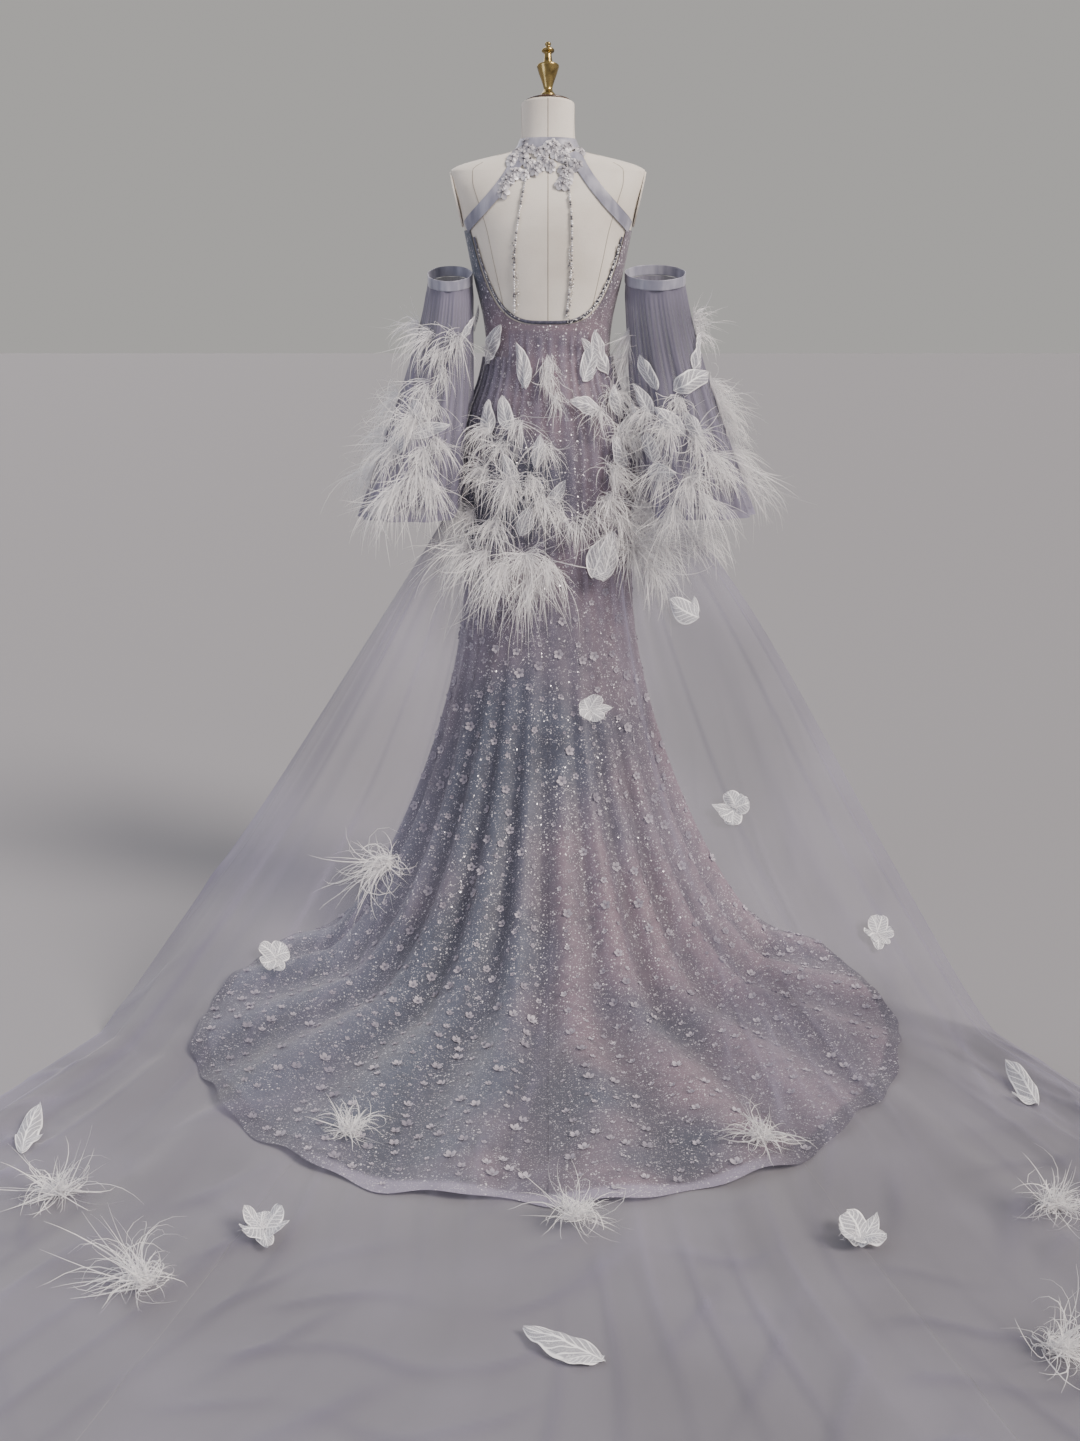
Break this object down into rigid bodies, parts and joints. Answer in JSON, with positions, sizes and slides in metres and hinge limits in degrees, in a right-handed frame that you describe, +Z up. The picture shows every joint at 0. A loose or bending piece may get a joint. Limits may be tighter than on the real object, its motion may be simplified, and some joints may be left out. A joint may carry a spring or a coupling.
{
  "type": "mermaid evening dress on a dress form",
  "caption": "Halter mermaid gown with a low open back, floor train, off-shoulder bell sleeves, long net overtrain and feather sprays, on a limbless dress form on a pole and round foot.",
  "frame": {"origin": "on the floor, at the stand's axis, in the middle of the foot's underside", "axes": "+Z up; the wearer faces +Y and the trains lie towards -Y; +X is the wearer's right"},
  "size_m": [2.2, 2.4983, 1.7466],
  "materials": {
    "linen": "natural linen, matt",
    "dark_wood": "dark stain",
    "brass": "aged, polished",
    "dark_metal": "satin black",
    "sequin_cloth": "dusky lilac sequins on lining",
    "satin": "silver-lavender satin",
    "net": "sheer dusty-lavender net",
    "beads": "clear and silver beads",
    "feather": "ivory ostrich",
    "organza": "organza with pale lace veins"
  },
  "bodies": {
    "root": {"beads_left": "beads", "beads_right": "beads", "feathers_seat_left": "feather", "feathers_seat_low_left": "feather", "feathers_seat_low_right": "feather", "feathers_seat_mid_right": "feather", "feathers_seat_middle": "feather", "feathers_seat_right": "feather", "feathers_sleeve_left_low": "feather", "feathers_sleeve_left_mid": "feather", "feathers_sleeve_left_top": "feather", "feathers_sleeve_right_low": "feather", "feathers_sleeve_right_mid": "feather", "feathers_sleeve_right_top": "feather", "feathers_train_a": "feather", "feathers_train_b": "feather", "feathers_train_c": "feather", "feathers_train_d": "feather", "feathers_train_e": "feather", "feathers_train_f": "feather", "feathers_train_g": "feather", "feathers_train_h": "feather", "form_armhole_left": "linen", "form_armhole_right": "linen", "form_cap": "dark_wood", "form_finial": "brass", "form_torso": "linen", "gown_back_left": "sequin_cloth", "gown_back_right": "sequin_cloth", "gown_front": "sequin_cloth", "halter_collar": "organza", "leaf_seat_left": "organza", "leaf_seat_low": "organza", "leaf_train_end": "organza", "leaf_train_left": "organza", "leaf_train_right": "organza", "leaf_waist_left": "organza", "leaf_waist_middle": "organza", "leaf_waist_right": "organza", "leaf_wing_right": "organza", "nape_motif": "organza", "neckline_binding": "satin", "net_middle": "net", "net_wing_left": "net", "net_wing_right": "net", "petals_a": "organza", "petals_b": "organza", "petals_c": "organza", "petals_d": "organza", "petals_e": "organza", "petals_f": "organza", "sleeve_band_left": "satin", "sleeve_band_right": "satin", "sleeve_left": "net", "sleeve_right": "net", "stand_base": "dark_metal", "stand_pole": "dark_metal", "strap_left": "satin", "strap_right": "satin"}
  },
  "joints": []
}
